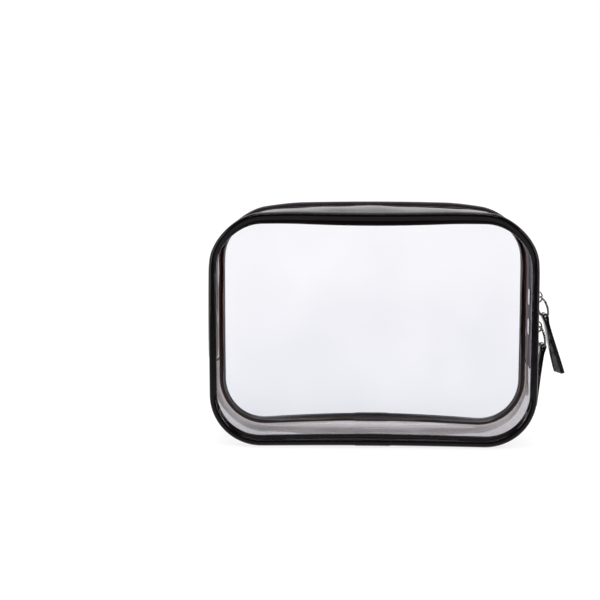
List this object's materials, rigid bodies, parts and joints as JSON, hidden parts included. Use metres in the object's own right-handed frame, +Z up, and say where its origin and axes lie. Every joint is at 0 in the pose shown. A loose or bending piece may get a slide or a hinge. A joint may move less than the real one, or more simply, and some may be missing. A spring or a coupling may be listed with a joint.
{
  "type": "makeup bag",
  "caption": "Clear vinyl makeup bag with rounded corners, piped edges, a smoke-tinted gusset and a coil zipper whose ringed sliders carry patent straps; the mouth folds open.",
  "frame": {"origin": "middle of the bottom gusset's underside, which the bag stands on", "axes": "+X towards the end where the zip pulls hang, -Y out of the front face, +Z up"},
  "size_m": [0.2232, 0.07, 0.1489],
  "materials": {
    "clear_vinyl": "clear glossy PVC sheet",
    "smoke_vinyl": "smoke-tinted glossy PVC sheet",
    "piping_vinyl": "glossy black vinyl",
    "core_vinyl": "soft dark cord",
    "woven_tape": "woven polyester tape",
    "nylon_coil": "nylon coil",
    "nickel": "bright nickel plate",
    "patent_strap": "black patent"
  },
  "bodies": {
    "bag": {"front_panel_lower": "clear_vinyl", "back_panel": "clear_vinyl", "back_piping": "piping_vinyl", "back_piping_core": "core_vinyl", "front_piping_joiner": "piping_vinyl", "back_piping_joiner": "piping_vinyl", "zipper_gusset_back": "smoke_vinyl", "bottom_gusset": "smoke_vinyl", "zipper_tape_back": "woven_tape", "zipper_coil_back": "nylon_coil", "front_piping_lower_right": "piping_vinyl", "front_piping_lower_right_core": "core_vinyl", "front_piping_lower_left": "piping_vinyl", "front_piping_lower_left_core": "core_vinyl"},
    "mouth_flap": {"front_panel_upper": "clear_vinyl", "front_piping_upper": "piping_vinyl", "front_piping_upper_core": "core_vinyl", "zipper_gusset_front": "smoke_vinyl", "zipper_tape_front": "woven_tape", "zipper_coil_front": "nylon_coil"},
    "upper_slider": {"upper_slider_body": "nickel", "upper_slider_bridge": "nickel"},
    "upper_ring": {"upper_pull_ring": "nickel"},
    "upper_strap": {"upper_pull_strap": "patent_strap"},
    "lower_slider": {"lower_slider_body": "nickel", "lower_slider_bridge": "nickel"},
    "lower_ring": {"lower_pull_ring": "nickel"},
    "lower_strap": {"lower_pull_strap": "patent_strap"}
  },
  "joints": [
    {"name": "mouth_fold", "type": "hinge", "parent": "bag", "child": "mouth_flap", "pos_m": [0, -0.0355, 0.046], "axis": [1, 0, 0], "range_deg": [0, 30], "deforming": ["zipper_coil_front"]},
    {"name": "upper_slider_slide", "type": "slide", "parent": "bag", "child": "upper_slider", "axis": [0, 0, 1], "range_m": [-0.001, 0.016]},
    {"name": "upper_ring_swing", "type": "hinge", "parent": "upper_slider", "child": "upper_ring", "pos_m": [0.10565, 0, 0.0905], "axis": [0, -1, 0], "range_deg": [-1, 110]},
    {"name": "upper_strap_swing", "type": "hinge", "parent": "upper_ring", "child": "upper_strap", "pos_m": [0.10925, 0, 0.07707], "axis": [0, -1, 0], "range_deg": [-1, 60]},
    {"name": "lower_slider_slide", "type": "slide", "parent": "bag", "child": "lower_slider", "axis": [0, 0, 1], "range_m": [-0.008, 0.001]},
    {"name": "lower_ring_swing", "type": "hinge", "parent": "lower_slider", "child": "lower_ring", "pos_m": [0.10565, 0, 0.0715], "axis": [0, -1, 0], "range_deg": [0, 5]},
    {"name": "lower_strap_swing", "type": "hinge", "parent": "lower_ring", "child": "lower_strap", "pos_m": [0.10782, 0, 0.05777], "axis": [0, -1, 0], "range_deg": [0, 15]}
  ]
}
